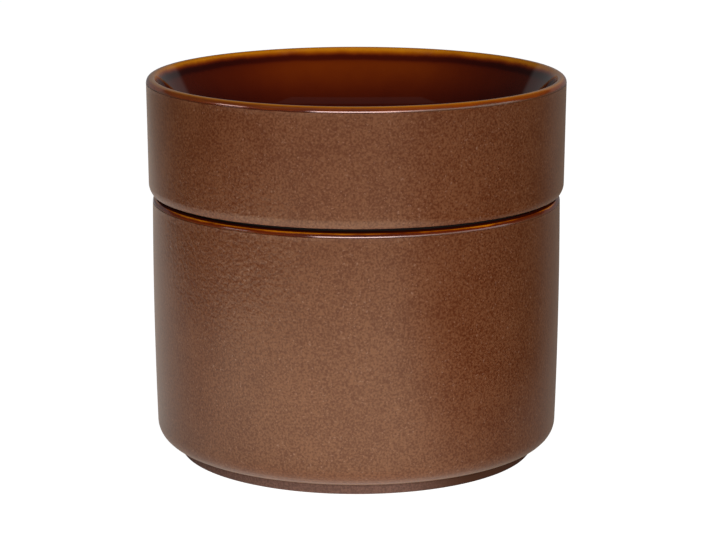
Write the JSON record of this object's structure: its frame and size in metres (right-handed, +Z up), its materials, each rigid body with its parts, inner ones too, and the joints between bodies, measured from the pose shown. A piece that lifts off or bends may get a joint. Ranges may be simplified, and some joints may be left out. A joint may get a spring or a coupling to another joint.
{
  "type": "onggi jar",
  "caption": "Round stoneware onggi jar on a foot ring, with a deep lid that lifts off and has a flared dish in its top; matt brown glaze outside, glossy amber glaze inside.",
  "frame": {"origin": "centre of the foot ring's underside, on the surface that the jar stands on", "axes": "+Z up along the axis that the jar and lid are turned about; the object is round, so +X and +Y are free"},
  "size_m": [0.15, 0.15, 0.1368],
  "materials": {
    "bare_stoneware": "bare fired clay, fine-grained and matt",
    "matt_brown_glaze": "matt brown with a fine metallic speckle",
    "amber_glaze": "glossy, clear amber brown"
  },
  "bodies": {
    "jar": {"jar_body": "bare_stoneware", "jar_outer_glaze": "matt_brown_glaze", "jar_inner_glaze": "amber_glaze"},
    "lid": {"lid_body": "bare_stoneware", "lid_outer_glaze": "matt_brown_glaze", "lid_inner_glaze": "amber_glaze"}
  },
  "joints": [
    {"name": "lid_lift", "type": "slide", "parent": "jar", "child": "lid", "axis": [0, 0, 1], "range_m": [0, 0.15]}
  ]
}
